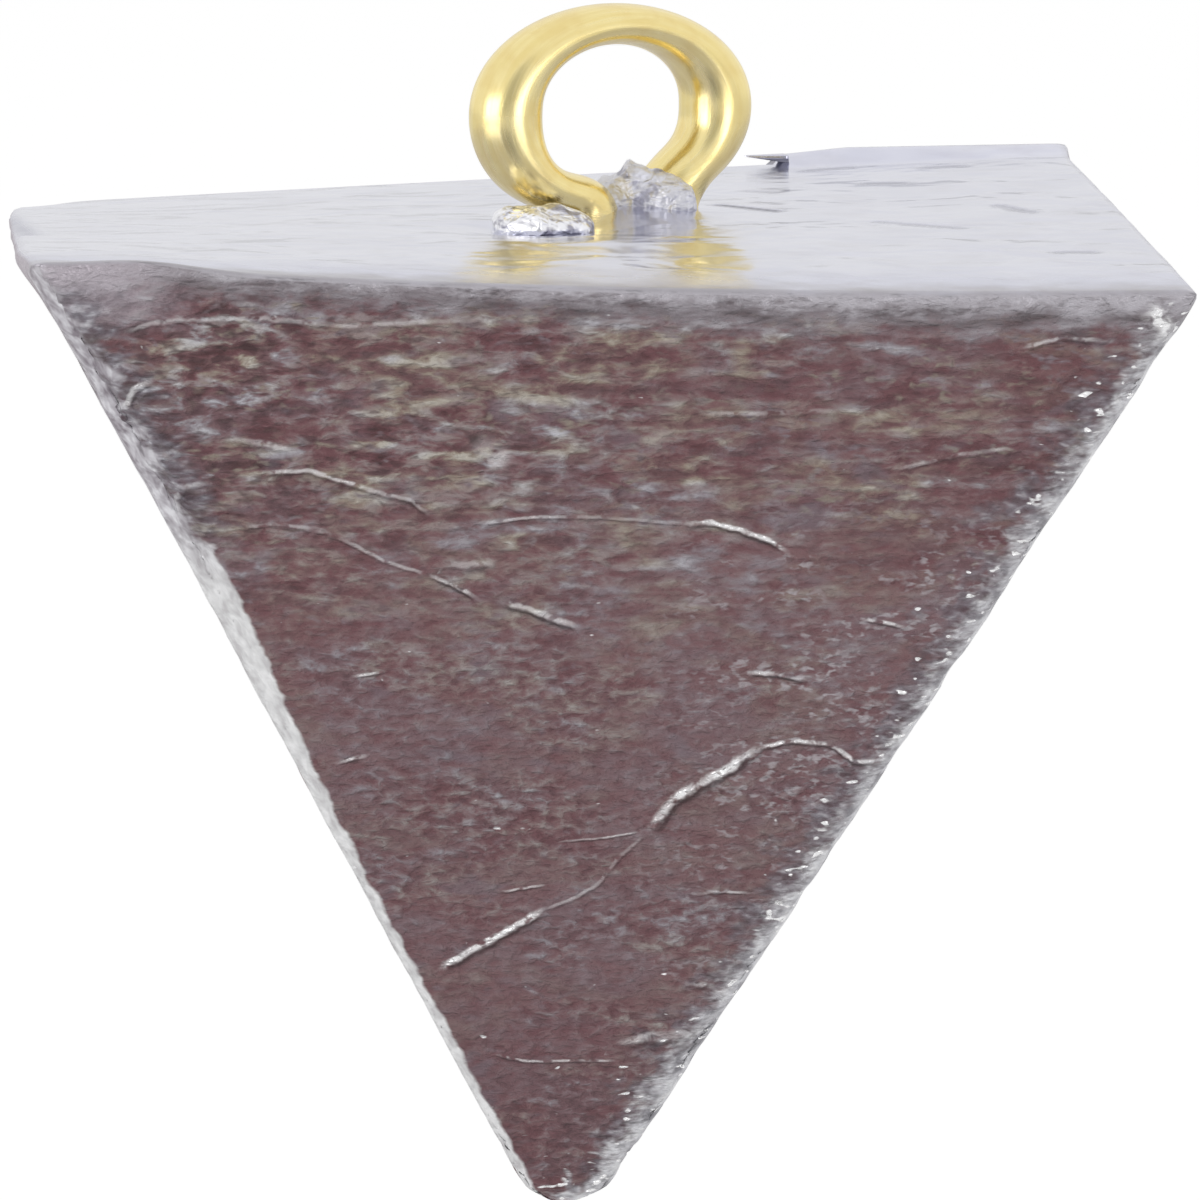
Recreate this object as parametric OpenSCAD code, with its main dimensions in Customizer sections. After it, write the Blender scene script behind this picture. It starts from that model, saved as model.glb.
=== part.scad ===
// Pyramid fishing sinker: a four-sided lead casting with its blunt tip down, and a brass wire eye
// cast into its poured top. The origin is the centre of the eye's hole, with +Z up along the line.

/* [Lead body] */
// Width across the flats of the body at its poured top
base_w = 32; // [26:0.5:50]
// Depth below the top at which the four faces would meet in a point
taper_h = 30; // [26:0.2:50]
// Radius of the blunt tip
tip_r = 1.7; // [1:0.1:2.5]
// Radius of the two soft arrises, which were inside the mould's halves
arris_r = 0.8; // [0.5:0.05:1.2]
// Widest part of the trimmed flat land down the two arrises where the mould parts
land_w = 1.45; // [0.8:0.05:2]
// Radius of the rolled rim round the poured top
rim_r = 0.4; // [0.25:0.05:0.6]
// Depth of the shrinkage hollow half-way down each flank
flank_sink = 0.03; // [0:0.01:0.2]

/* [Poured top] */
// Height of the two parting corners above the level of the pour, and depth of the others below it
corner_lift = 0.62; // [0:0.02:1.2]
// Rise of the pour from the body's axis to its right-hand side
pour_slope = 0.24; // [0:0.02:0.5]
// Dip in the middle of the front rim
front_dip = 0.34; // [0:0.02:0.6]
// Height of the lump on the front rim by the left parting corner
rim_lump_h = 0.28; // [0:0.02:0.5]
// Droop of the back left corner
corner_droop = 0.3; // [0:0.02:0.6]
// Bulge of the left-hand side where it meets the poured top
side_bulge = 0.3; // [0:0.02:0.6]
// Height of the swelling where the lead climbs round the eye's feet
swell_h = 0.3; // [0:0.05:0.6]
// Reach of that swelling from the middle of the feet
swell_r = 3; // [2:0.1:4]
// Depth of the shrinkage hollow under the bead
hollow_h = 0.3; // [0:0.05:0.4]
// Reach of that hollow from the middle of the bead
hollow_r = 2.6; // [1.5:0.1:3.5]
// Height of the raised lip along the right half of the back rim
lip_h = 0.4; // [0:0.02:0.7]
// Width of the lip, from the rim inwards
lip_w = 1.7; // [1:0.1:2.5]

/* [Wire eye] */
// Thickness of the brass wire
wire_d = 2.15; // [1.6:0.05:2.4]
// Thickness of the wire where it is flattened over the crown of the loop
crown_t = 1.2; // [0.9:0.05:1.6]
// Clear width of the eye's hole, across the line of pull
hole_w = 4.9; // [4:0.1:7]
// Clear height of the eye's hole, before the lead between the legs rises into it
hole_h = 3.7; // [3:0.1:5]
// Extra reach of the loop low on its left, where the wire was last bent
loop_full = 0.2; // [0:0.02:0.5]
// Height of the hole's centre above the level of the pour
eye_rise = 3.05; // [2.9:0.05:4.5]
// Place of the hole's centre to the right of the body's axis
eye_x = 1.25; // [0:0.05:2]
// Place of the hole's centre behind the body's axis
eye_y = 2.4; // [0:0.1:4]
// Turn of the eye's plane, right-hand side to the back
eye_turn = 27; // [0:0.2:45]
// Distance between the centre lines of the two legs
leg_pitch = 2.66; // [2.2:0.02:3]
// Place of the middle of the legs, along the eye's plane, past the hole's centre
leg_shift = 0.44; // [0:0.02:1]
// Length of the legs that is buried in the lead, down to their anchor bends
shank_l = 7.5; // [4:0.5:10]
// Radius of each anchor bend
anchor_r = 2.2; // [1.6:0.1:3]
// Straight end of the wire past its anchor bend
anchor_l = 1.6; // [0.5:0.1:2.5]
// Clearance that is left between the wire and the lead round it
wire_fit = 0.03; // [0.02:0.01:0.05]

/* [Cold laps] */
// Length of the flash between the eye's legs
flash_l = 3.2; // [2.4:0.1:4]
// Height of the flash over the level of the pour
flash_h = 1.62; // [1.2:0.02:2]
// Thickness of the flash at its foot
flash_t = 1.5; // [1:0.05:2]
// Length of the bead at the left leg's foot
bead_l = 2.9; // [1.6:0.1:3.2]
// Height of the bead over the level of the pour
bead_h = 0.7; // [0.4:0.02:1]
// Depth of the bead from front to back
bead_t = 2.8; // [1.5:0.1:3]

/* [Hidden] */
half_w = base_w / 2;
taper_angle = atan(half_w / taper_h);
tip_centre = taper_h - tip_r / sin(taper_angle);
dome_edge = tip_centre + tip_r * sin(taper_angle);

// Steps round each soft arris, and up the dome, the flanks and the rim
arc_steps = 6;
dome_shares = [0.22, 0.48, 0.74];
rim_angles = [30, 60, 90];
flank_shares = [0, 0.12, 0.25, 0.38, 0.5, 0.6, 0.68, 0.75, 0.82, 0.9, 1];
// Width of the land at each of those flank steps, as shares of its widest part
land_shares = [0.34, 0.36, 0.38, 0.42, 0.55, 0.8, 0.95, 1, 0.85, 0.7, 0.6];
tip_land_share = 0.45;
// Points along a side between its corners, and along the back, where a pair makes the lip's step
side_shares = [0.06, 0.14, 0.24, 0.34, 0.44, 0.54, 0.64, 0.74, 0.84, 0.93];
back_shares = [0.05, 0.11, 0.17, 0.23, 0.266, 0.276, 0.4, 0.55, 0.7, 0.86];
// Rings of the top, from just inside the rim to the middle
top_shares = [0.972, 0.94, 0.9, 0.8, 0.68, 0.56, 0.45, 0.36, 0.28, 0.2, 0.1];
// Start of the lip and end of its climb, from the body's axis, as shares of the half width
lip_start_share = 0.455;
lip_crest_share = 0.58;
lip_step_share = 0.7;
lip_end_share = 0.45;
// Middle of the front rim's lump and its reach, and the droop's reach, as shares of the half width
lump_at_share = -0.8;
lump_reach_share = 0.17;
droop_reach_share = 0.12;
// Inner end of the front band that the lump is in
lump_band_share = 0.86;
// Lower end of the bulge up the flank, and its run-out towards each corner
bulge_start_share = 0.9;
bulge_run_share = 0.45;

loop_a = (hole_w + wire_d) / 2;
loop_b = (hole_h + crown_t) / 2;
left_foot = leg_shift - leg_pitch / 2;
right_foot = leg_shift + leg_pitch / 2;
// Direction of the loop's fullest place from the hole's centre, and its reach either way, in degrees
full_at = 227;
full_reach = 30;
// Directions, seen from the hole's centre, in which the loop passes into its legs
left_leave = 246;
right_leave = -40;
left_drop = 0.41 * eye_rise;
right_drop = 0.45 * eye_rise;
left_handle = 0.19 * eye_rise;
right_handle = 0.155 * eye_rise;
anchor_angle = 62;
anchor_z = -eye_rise - shank_l;
loop_steps = 48;
leg_steps = 8;
bend_steps = 6;
wire_sides = 16;

// Middles of the flash and the bead, from the hole's centre, and the flash's turn
flash_x = 0.29 * flash_l;
flash_y = 0.2 * flash_t;
flash_turn = -14;
bead_x = -0.62 * loop_a;
bead_y = -1.1 * bead_t;
bead_turn = 8;
// Lump sections: place along, height and thickness, and lean towards the back, as shares
flash_shares = [
    [0, 0.3, 0.3, 0], [0.05, 0.58, 0.6, 0.05], [0.16, 0.72, 0.85, 0.1], [0.27, 0.86, 1, 0.06],
    [0.38, 1, 0.92, 0], [0.46, 0.92, 1, -0.05], [0.58, 0.88, 0.9, 0.04], [0.7, 0.8, 0.96, 0.1],
    [0.84, 0.74, 0.84, 0], [0.95, 0.6, 0.7, -0.05], [1, 0.34, 0.4, 0]
];
bead_shares = [
    [0, 0.2, 0.25, 0], [0.07, 0.62, 0.6, 0.08], [0.2, 0.9, 0.86, 0.04], [0.36, 1, 1, -0.05],
    [0.5, 0.86, 0.96, 0.02], [0.66, 0.94, 0.9, 0.07], [0.82, 0.72, 0.78, 0],
    [0.94, 0.44, 0.5, -0.04], [1, 0.18, 0.24, 0]
];
lump_steps = 12;
// Depth to which a lump's blank reaches before the poured top trims it
lump_root = 1.2 * swell_h + 1.6 * hollow_h;

function mix(a, b, share) = a + (b - a) * share;
function clamp01(v) = min(1, max(0, v));
function smooth(v) = let (c = clamp01(v)) c * c * (3 - 2 * c);
function hump(x, y, reach) = exp(-(x * x + y * y) * 2 / (reach * reach));

// The poured top, as a height over the level of the pour at a place from the body's axis
function lip_rise(x) =
    x < lip_start_share * half_w ? 0 :
    x < lip_crest_share * half_w
        ? mix(lip_step_share, 1, (x / half_w - lip_start_share) / (lip_crest_share - lip_start_share))
        : mix(1, lip_end_share, (x / half_w - lip_crest_share) / (1 - lip_crest_share));
function lip_z(x, y) = lip_h * lip_rise(x) * smooth((y - (half_w - rim_r - lip_w)) / lip_w);
function front_z(x, y) = -front_dip * (1 - pow(x / half_w, 2)) * pow(max(0, -y / half_w), 2);
function rim_lump_z(x, y) = rim_lump_h
    * hump(x - lump_at_share * half_w, 0, lump_reach_share * half_w)
    * smooth((-y / half_w - lump_band_share) / (1 - lump_band_share));
function droop_z(x, y) = -corner_droop * hump(x + half_w, y - half_w, droop_reach_share * half_w);
function top_z(x, y) =
    corner_lift * x * y / (half_w * half_w) + pour_slope * x / half_w
    + front_z(x, y) + lip_z(x, y) + rim_lump_z(x, y) + droop_z(x, y)
    + swell_h * hump(x - foot_mid.x, y - foot_mid.y, swell_r)
    - hollow_h * hump(x - bead_mid.x, y - bead_mid.y, hollow_r);
foot_mid = [eye_x + leg_shift * cos(eye_turn), eye_y + leg_shift * sin(eye_turn)];
bead_mid = [eye_x + bead_x, eye_y + bead_y];

// Outline of the body's section: soft corners front right and back left, flat lands on the others
function section(w, r, c) = concat(
    [for (i = [0:arc_steps]) let (a = -90 + 90 * i / arc_steps)
        [w - r + r * cos(a), -w + r + r * sin(a)]],
    [for (s = side_shares) [w, mix(-w + r, w - c, s)]],
    [for (s = [0, 0.5, 1]) mix([w, w - c], [w - c, w], s)],
    [for (s = back_shares) [mix(w - c, -w + r, s), w]],
    [for (i = [0:arc_steps]) let (a = 90 + 90 * i / arc_steps)
        [-w + r + r * cos(a), w - r + r * sin(a)]],
    [for (s = side_shares) [-w, mix(w - r, -w + c, s)]],
    [for (s = [0, 0.5, 1]) mix([-w, -w + c], [-w + c, -w], s)],
    [for (s = side_shares) [mix(-w + c, w - r, s), -w]]
);
function soft_r(w) = min(arris_r, w);
function land_c(w, share) = min(land_w * share / sqrt(2), w * tip_land_share);
function half_at(z) = half_w * (taper_h + z) / taper_h;

rim_outline = section(half_w - rim_r, soft_r(half_w), land_c(half_w, land_shares[10]));
ring_n = len(rim_outline);
rim_z = [for (p = rim_outline) top_z(p.x, p.y)];

function dome_ring(share) =
    let (a = (90 - taper_angle) * share, w = tip_r * sin(a), z = -tip_centre - tip_r * cos(a))
    [for (p = section(w, soft_r(w), land_c(w, land_shares[0]))) [p.x, p.y, z]];
// The left-hand side's bulge: full and straight along the rim, none at the corners and on the right
function bulged(p, share) = p.x > 0 ? p.x
    : p.x * (1 + side_bulge / half_w * clamp01((1 - abs(p.y) / half_w) / bulge_run_share)
        * clamp01((share - bulge_start_share) / (1 - bulge_start_share)));
function flank_ring(k) = [for (i = [0:ring_n - 1])
    let (
        z = mix(-dome_edge, rim_z[i] - rim_r, flank_shares[k]),
        w = half_at(z) - 4 * flank_sink * flank_shares[k] * (1 - flank_shares[k]),
        p = section(w, soft_r(w), land_c(w, land_shares[k]))[i]
    ) [bulged(p, flank_shares[k]), p.y, z]];
function rim_ring(a) = [for (i = [0:ring_n - 1])
    let (
        w = half_at(rim_z[i] - rim_r) - rim_r * (1 - cos(a)),
        p = section(w, soft_r(w), land_c(w, land_shares[10]))[i]
    ) [bulged(p, 1), p.y, rim_z[i] - rim_r * (1 - sin(a))]];
rim_edge = rim_ring(90);
function top_ring(share) = [for (p = rim_edge)
    [p.x * share, p.y * share, top_z(p.x * share, p.y * share)]];

// Skin over rings of equal count, listed upwards and counter-clockwise, closed by a point at each end
module ring_skin(rings, low, high) {
    n = len(rings[0]);
    last = len(rings) - 1;
    points = concat([low], [for (ring = rings) each ring], [high]);
    top = len(points) - 1;
    faces = concat(
        [for (i = [0:n - 1]) [0, 1 + i, 1 + (i + 1) % n]],
        [for (k = [0:last - 1], i = [0:n - 1]) let (a = 1 + k * n + i, b = 1 + k * n + (i + 1) % n)
            each [[a, a + n, b], [b, a + n, b + n]]],
        [for (i = [0:n - 1]) [top, 1 + last * n + (i + 1) % n, 1 + last * n + i]]
    );
    polyhedron(points, faces, convexity = 6);
}

// The casting before the wire's room is taken out of it, placed from the hole's centre
module body_blank() {
    translate([-eye_x, -eye_y, -eye_rise])
        ring_skin(
            concat(
                [for (s = dome_shares) dome_ring(s)],
                [for (k = [0:len(flank_shares) - 1]) flank_ring(k)],
                [for (a = rim_angles) rim_ring(a)],
                [for (s = top_shares) top_ring(s)]
            ),
            [0, 0, -tip_centre - tip_r],
            [0, 0, top_z(0, 0)]
        );
}

// Centre line of the wire in the eye's own plane, from the right-hand anchor round to the left one
function loop_at(a) = [loop_a * cos(a), loop_b * sin(a)]
    + [cos(a), sin(a)] * loop_full * exp(-pow((a - full_at) / full_reach, 2));
function loop_way(a) = let (v = [-loop_a * sin(a), loop_b * cos(a)]) v / norm(v);
function curve(a, b, c, d, t) =
    a * pow(1 - t, 3) + b * 3 * t * pow(1 - t, 2) + c * 3 * t * t * (1 - t) + d * pow(t, 3);
function leg(leave, way, foot, drop, handle) =
    let (start = loop_at(leave), end = [foot, start.y - drop])
    [for (i = [1:leg_steps])
        curve(start, start + way * handle, end + [0, handle], end, i / leg_steps)];
function anchor(foot, side) = concat(
    [[foot, anchor_z]],
    [for (i = [1:bend_steps]) let (a = anchor_angle * i / bend_steps)
        [foot + side * anchor_r * (1 - cos(a)), anchor_z - anchor_r * sin(a)]],
    [[foot + side * (anchor_r * (1 - cos(anchor_angle)) + anchor_l * sin(anchor_angle)),
        anchor_z - anchor_r * sin(anchor_angle) - anchor_l * cos(anchor_angle)]]
);
function reversed(list) = [for (i = [len(list) - 1:-1:0]) list[i]];
wire_path = concat(
    reversed(anchor(right_foot, 1)),
    reversed(leg(right_leave, -loop_way(right_leave), right_foot, right_drop, right_handle)),
    [for (i = [0:loop_steps]) loop_at(mix(right_leave, left_leave, i / loop_steps))],
    leg(left_leave, loop_way(left_leave), left_foot, left_drop, left_handle),
    anchor(left_foot, -1)
);
wire_n = len(wire_path);
function wire_way(i) =
    let (v = wire_path[min(i + 1, wire_n - 1)] - wire_path[max(i - 1, 0)]) v / norm(v);
// The wire is round where it runs up and down, thinner where it runs across, and round in the lead
function wire_t(i) =
    let (round_share = clamp01((-wire_path[i].y - eye_rise) / wire_d))
    mix(crown_t, wire_d, max(round_share, pow(wire_way(i).y, 2)));

// The wire as one swept skin, all round bigger by a margin
module wire_sweep(margin) {
    across = [-sin(eye_turn), cos(eye_turn), 0];
    function place(p) = [p.x * cos(eye_turn), p.x * sin(eye_turn), p.y];
    function ring(i) =
        let (
            way = wire_way(i),
            out = place([way.y, -way.x]),
            end = i == 0 ? -margin : i == wire_n - 1 ? margin : 0,
            middle = place(wire_path[i] + way * end)
        )
        [for (k = [0:wire_sides - 1]) let (a = 360 * k / wire_sides)
            middle + out * cos(a) * (wire_t(i) / 2 + margin)
                + across * sin(a) * (wire_d / 2 + margin)];
    ring_skin(
        [for (i = [0:wire_n - 1]) ring(i)],
        place(wire_path[0] - wire_way(0) * margin),
        place(wire_path[wire_n - 1] + wire_way(wire_n - 1) * margin)
    );
}

// A lump of lead over the poured top: sections along X, each a rounded crest with its root below
module lump(length, height, thick, shares, turn) {
    rings = [for (s = shares) concat(
        [for (i = [0:lump_steps]) let (a = 180 * i / lump_steps)
            [(s[0] - 0.5) * length,
                (s[3] * sin(a) + s[2] * cos(a) / 2) * thick,
                s[1] * height * pow(sin(a), 0.8)]],
        [[(s[0] - 0.5) * length, -s[2] * thick / 2, -lump_root],
            [(s[0] - 0.5) * length, s[2] * thick / 2, -lump_root]]
    )];
    first = rings[0];
    last = rings[len(rings) - 1];
    rotate(turn)
        ring_skin(rings, (first[0] + first[lump_steps]) / 2, (last[0] + last[lump_steps]) / 2);
}

module lead_body() {
    color("#6e5458")
        difference() {
            body_blank();
            wire_sweep(wire_fit);
        }
}

module brass_eye() {
    color("#e1cd8c")
        wire_sweep(0);
}

module eye_flash() {
    color("#cfced8")
        difference() {
            translate([flash_x, flash_y, -eye_rise])
                lump(flash_l, flash_h, flash_t, flash_shares, flash_turn);
            body_blank();
            wire_sweep(wire_fit);
        }
}

module foot_bead() {
    color("#e6e6ee")
        difference() {
            translate([bead_x, bead_y, -eye_rise])
                lump(bead_l, bead_h, bead_t, bead_shares, bead_turn);
            body_blank();
            wire_sweep(wire_fit);
        }
}

lead_body();
brass_eye();
eye_flash();
foot_bead();
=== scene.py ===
import math

import bmesh
import bpy
import numpy as np
from mathutils import Matrix, Vector, noise


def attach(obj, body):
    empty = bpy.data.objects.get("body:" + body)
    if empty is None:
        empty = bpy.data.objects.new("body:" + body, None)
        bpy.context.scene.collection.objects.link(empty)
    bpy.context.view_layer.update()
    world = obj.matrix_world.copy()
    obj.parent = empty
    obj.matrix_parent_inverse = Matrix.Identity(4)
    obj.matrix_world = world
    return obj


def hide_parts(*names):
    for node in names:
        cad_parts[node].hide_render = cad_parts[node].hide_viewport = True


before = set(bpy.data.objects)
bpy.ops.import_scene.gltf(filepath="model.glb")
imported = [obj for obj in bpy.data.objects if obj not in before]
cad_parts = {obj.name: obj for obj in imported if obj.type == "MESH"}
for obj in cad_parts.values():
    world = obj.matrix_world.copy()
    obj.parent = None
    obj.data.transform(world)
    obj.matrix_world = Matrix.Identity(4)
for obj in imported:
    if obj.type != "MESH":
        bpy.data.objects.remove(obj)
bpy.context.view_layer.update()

MM = 0.001

# The body's axis and the level of its poured top, in mm from the centre of the eye's hole
AXIS = Vector((-1.25, -2.4, -3.05))

# Sizes of the casting in mm, as in the part's source
HALF_W = 16.0
TAPER_H = 30.0
TAPER = math.atan(HALF_W / TAPER_H)
TIP_R = 1.7
TIP_CENTRE = TAPER_H - TIP_R / math.sin(TAPER)
DOME_EDGE = TIP_CENTRE + TIP_R * math.sin(TAPER)
ARRIS_R = 0.8
RIM_R = 0.4

# Heights and reaches of the poured top's waves in mm, as in the part's source
CORNER_LIFT = 0.62
POUR_SLOPE = 0.24
FRONT_DIP = 0.34
RIM_LUMP_H = 0.28
CORNER_DROOP = 0.3
SIDE_BULGE = 0.3
SWELL_H = 0.3
SWELL_R = 3.0
SWELL_AT = (1.642, 2.6)
HOLLOW_H = 0.3
HOLLOW_R = 2.6
HOLLOW_AT = (-0.936, -0.68)
LIP_H = 0.4
LIP_W = 1.7

# Places and reaches on the top as shares of the half width, and levels as shares of the lip's height
LIP_START = 0.455
LIP_CREST = 0.58
LIP_STEP = 0.7
LIP_END = 0.45
LUMP_AT = -0.8
LUMP_REACH = 0.17
LUMP_BAND = 0.86
DROOP_REACH = 0.12
BULGE_RUN = 0.45

# Depth in mm at which the left-hand bulge starts, and the height over which it grows
BULGE_DEPTH = 2.7
BULGE_RISE = 2.4

# Widest cut of the land down the two parting arrises, at depths below the pour, and its limit at the tip
LAND_DEPTHS = (0, 2.5, 5, 7.5, 9.5, 11.5, 14, 17, 20, 23.5, 27.3)
LAND_WIDTHS = (0.87, 1.0, 1.23, 1.45, 1.38, 1.16, 0.8, 0.6, 0.55, 0.52, 0.5)
TIP_LAND = 0.45

# The blank: facet size and rim cut in mm, and the rings of its blunt tip as shares of the angle
FACET = 0.21
RIM_CUT = 1.2 * RIM_R
DOME_SHARES = (0.74, 0.48, 0.22, 0.06)

# Relief left by the mould: depth in mm, size across and up in mm, seed
SWELLS = (0.05, 4.5, 2.6, 3.1)
CHILL_RIPPLES = (0.022, 1.5, 0.55, 8.7)
ARRIS_DENTS = (0.16, 1.3, 1.3, 21.4)
LAND_SCALLOPS = (0.22, 1.5, 0.9, 40.2)
TIP_DENTS = (0.1, 0.8, 0.8, 11.9)
CREASE_STEP = 0.02

# Width of the bare metal in mm along the soft arrises, at depths below the pour
BARE_DEPTHS = (0, 3, 8, 14, 20, 28)
BARE_WIDTHS = (0.75, 0.55, 0.6, 0.5, 0.65, 0.9)
# How much wider it is on the left and right faces, and the gap in mm that counts as far away
SIDE_BARE = 0.7
SIDE_LAND = 1.2
FAR = 2.0
# Depth of the bare tip's edge in mm, and how much higher that edge is on its right
TIP_BARE = 28.4
TIP_BARE_LEAN = 1.6

# The sliver at the back lip: size, place on the top, the point that gives its level, and its sink, in mm
FLAKE = (1.3, 0.7, 0.26)
FLAKE_AT = (7.1, 15.2)
FLAKE_LEVEL_AT = (7.6, 15.3)
FLAKE_SINK = 0.07

# The eye: half sizes of its loop in mm along the wire's middle, and its turn in degrees
LOOP_A = 3.525
LOOP_B = 2.45
EYE_TURN = 27

# Lump sections along their length, as in the part's source: place, height, thickness and lean
FLASH_SHARES = ((0, 0.3, 0.3, 0), (0.05, 0.58, 0.6, 0.05), (0.16, 0.72, 0.85, 0.1), (0.27, 0.86, 1, 0.06),
                (0.38, 1, 0.92, 0), (0.46, 0.92, 1, -0.05), (0.58, 0.88, 0.9, 0.04), (0.7, 0.8, 0.96, 0.1),
                (0.84, 0.74, 0.84, 0), (0.95, 0.6, 0.7, -0.05), (1, 0.34, 0.4, 0))
BEAD_SHARES = ((0, 0.2, 0.25, 0), (0.07, 0.62, 0.6, 0.08), (0.2, 0.9, 0.86, 0.04), (0.36, 1, 1, -0.05),
               (0.5, 0.86, 0.96, 0.02), (0.66, 0.94, 0.9, 0.07), (0.82, 0.72, 0.78, 0),
               (0.94, 0.44, 0.5, -0.04), (1, 0.18, 0.24, 0))
# The two cold laps, in mm and degrees
FLASH = {"middle": (0.928, 0.3), "size": (3.2, 1.5, 1.62), "shares": FLASH_SHARES, "turn": -14,
         "root": 0.35, "seed": 2.0, "crumple": 0.13}
BEAD = {"middle": (-2.186, -3.08), "size": (2.9, 2.8, 0.7), "shares": BEAD_SHARES, "turn": 8,
        "root": 0.5, "seed": 9.0, "crumple": 0.16}

# The photograph's viewpoint
VIEW_TURN = math.radians(-5.333)
VIEW_TILT = math.radians(7.195)
VIEW_ROLL = math.radians(0.603)
VIEW_DISTANCE = 296.65
VIEW_RIGHT = 0.735
VIEW_DOWN = 10.637
LENS_MM = 314.78

# The floor: its drop below the eye in mm, the light it adds for the camera, and its loss in mirrors
FLOOR_DROP = 44.0
FLOOR_LIFT = 0.52
FLOOR_DIM = -0.35
FLOOR_GREY = (0.9, 0.9, 0.9, 1)

# Lamps: place and size in mm, and power
WIDE_LEFT = ((-322, -270, 0), (370, 290), 0.78)
NARROW_RIGHT = ((253, -335, -15), (190, 105), 0.19)

# Light of the room, and its two darker zones for what metal mirrors: flattening of the direction,
# the zone's middle, where it starts and is full, and its light
WORLD_LIGHT = 0.66
FRONT_ZONE = ((1, 1, 0.35), (-0.035, -0.9994, 0), 0.89, 0.985, 0.5)
BACK_ZONE = ((1, 1, 1.6), (0.09, 0.996, 0), 0.8, 0.97, 0.88)


# Node trees

class Finish:
    """A node tree, built node by node."""

    def __init__(self, tree):
        self.tree = tree
        tree.nodes.clear()

    def add(self, kind, inputs=None, **settings):
        node = self.tree.nodes.new("ShaderNode" + kind)
        for key, value in settings.items():
            setattr(node, key, value)
        self.feed(node, inputs or {})
        return node

    def feed(self, node, inputs):
        for key, value in inputs.items():
            if isinstance(value, bpy.types.NodeSocket):
                self.tree.links.new(value, node.inputs[key])
            else:
                node.inputs[key].default_value = value

    def math(self, operation, a, b=0.0, clamp=False):
        return self.add("Math", {0: a, 1: b}, operation=operation, use_clamp=clamp).outputs[0]

    def plus(self, *values):
        total = values[0]
        for value in values[1:]:
            total = self.math("ADD", total, value)
        return total

    def times(self, *values):
        product = values[0]
        for value in values[1:]:
            product = self.math("MULTIPLY", product, value)
        return product

    def most(self, *values):
        most = values[0]
        for value in values[1:]:
            most = self.math("MAXIMUM", most, value)
        return most

    def off_centre(self, value, times=1.0):
        return self.times(self.math("SUBTRACT", value, 0.5), times)

    def ramp(self, value, low, high, to_low=0.0, to_high=1.0):
        return self.add("MapRange", {"Value": value, "From Min": low, "From Max": high, "To Min": to_low,
                                     "To Max": to_high}, interpolation_type="SMOOTHSTEP").outputs[0]

    def shades(self, value, stops):
        """A colour along a scale of (place, colour) stops."""
        node = self.add("ValToRGB", {0: value})
        scale = node.color_ramp
        scale.elements.remove(scale.elements[-1])
        scale.elements[0].position, scale.elements[0].color = stops[0]
        for place, colour in stops[1:]:
            scale.elements.new(place).color = colour
        return node.outputs[0]

    def mix(self, share, a, b):
        return self.add("Mix", {0: share, 6: a, 7: b}, data_type="RGBA").outputs[2]

    def blend(self, share, a, b):
        return self.add("Mix", {0: share, 2: a, 3: b}, data_type="FLOAT").outputs[0]

    def mark(self, name):
        return self.add("Attribute", attribute_name=name).outputs["Fac"]


class Metal(Finish):
    """A metal's finish, with noise in the piece's own millimetres."""

    def __init__(self, tree, flecks):
        super().__init__(tree)
        self.flecks = flecks
        place = self.add("TexCoord").outputs["Object"]
        self.mm = self.add("VectorMath", {0: place, "Scale": 1 / MM}, operation="SCALE").outputs[0]

    def fleck_node(self, inputs):
        node = self.tree.nodes.new("ShaderNodeGroup")
        node.node_tree = self.flecks
        self.feed(node, {"Place": self.mm, **inputs})
        return node

    def patch(self, across, up, low, high, seed, fine=2.0):
        """Patches of noise between two limits."""
        return self.fleck_node({"Across": across, "Up": up, "Low": low, "High": high, "Seed": seed,
                                "Fine": fine}).outputs["Mask"]

    def noise(self, across, up, seed, fine=2.0):
        """The same noise without limits, about 0.5."""
        return self.fleck_node({"Across": across, "Up": up, "Seed": seed, "Fine": fine}).outputs["Raw"]

    def walk(self, times, across, up, seed, fine=2.0):
        """The same noise about 0."""
        return self.off_centre(self.noise(across, up, seed, fine), times)

    def close(self, colour, metallic, roughness, height, strength, distance, **fixed):
        bump = self.add("Bump", {"Height": height, "Strength": strength, "Distance": distance})
        shader = self.add("BsdfPrincipled", {"Base Color": colour, "Metallic": metallic,
                                             "Roughness": roughness, "Normal": bump.outputs[0]})
        for key, value in fixed.items():
            shader.inputs[key.replace("_", " ")].default_value = value
        self.add("OutputMaterial", {"Surface": shader.outputs[0]})


def new_material(name):
    material = bpy.data.materials.new(name)
    material.use_nodes = True
    return material


def fleck_group():
    """Patches of noise, drawn out sideways: a mask between two limits, and the noise itself."""
    group = bpy.data.node_groups.new("flecks", "ShaderNodeTree")
    f = Finish(group)
    group.interface.new_socket("Place", in_out="INPUT", socket_type="NodeSocketVector")
    for socket in ("Across", "Up", "Low", "High", "Seed", "Fine"):
        group.interface.new_socket(socket, in_out="INPUT", socket_type="NodeSocketFloat")
    for socket in ("Mask", "Raw"):
        group.interface.new_socket(socket, in_out="OUTPUT", socket_type="NodeSocketFloat")
    given = group.nodes.new("NodeGroupInput").outputs
    parts = f.add("SeparateXYZ", {0: given["Place"]})
    placed = f.add("CombineXYZ", {
        0: f.math("DIVIDE", parts.outputs[0], given["Across"]),
        1: f.math("DIVIDE", parts.outputs[1], given["Across"]),
        2: f.math("DIVIDE", parts.outputs[2], given["Up"])})
    moved = f.add("VectorMath", {0: placed.outputs[0], 1: given["Seed"]}, operation="ADD")
    speckle = f.add("TexNoise", {"Vector": moved.outputs[0], "Scale": 1.0, "Detail": given["Fine"],
                                 "Roughness": 0.55, "Distortion": 0.3}).outputs[0]
    f.feed(group.nodes.new("NodeGroupOutput"),
           {"Mask": f.ramp(speckle, given["Low"], given["High"]), "Raw": speckle})
    return group


# Studio

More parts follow.
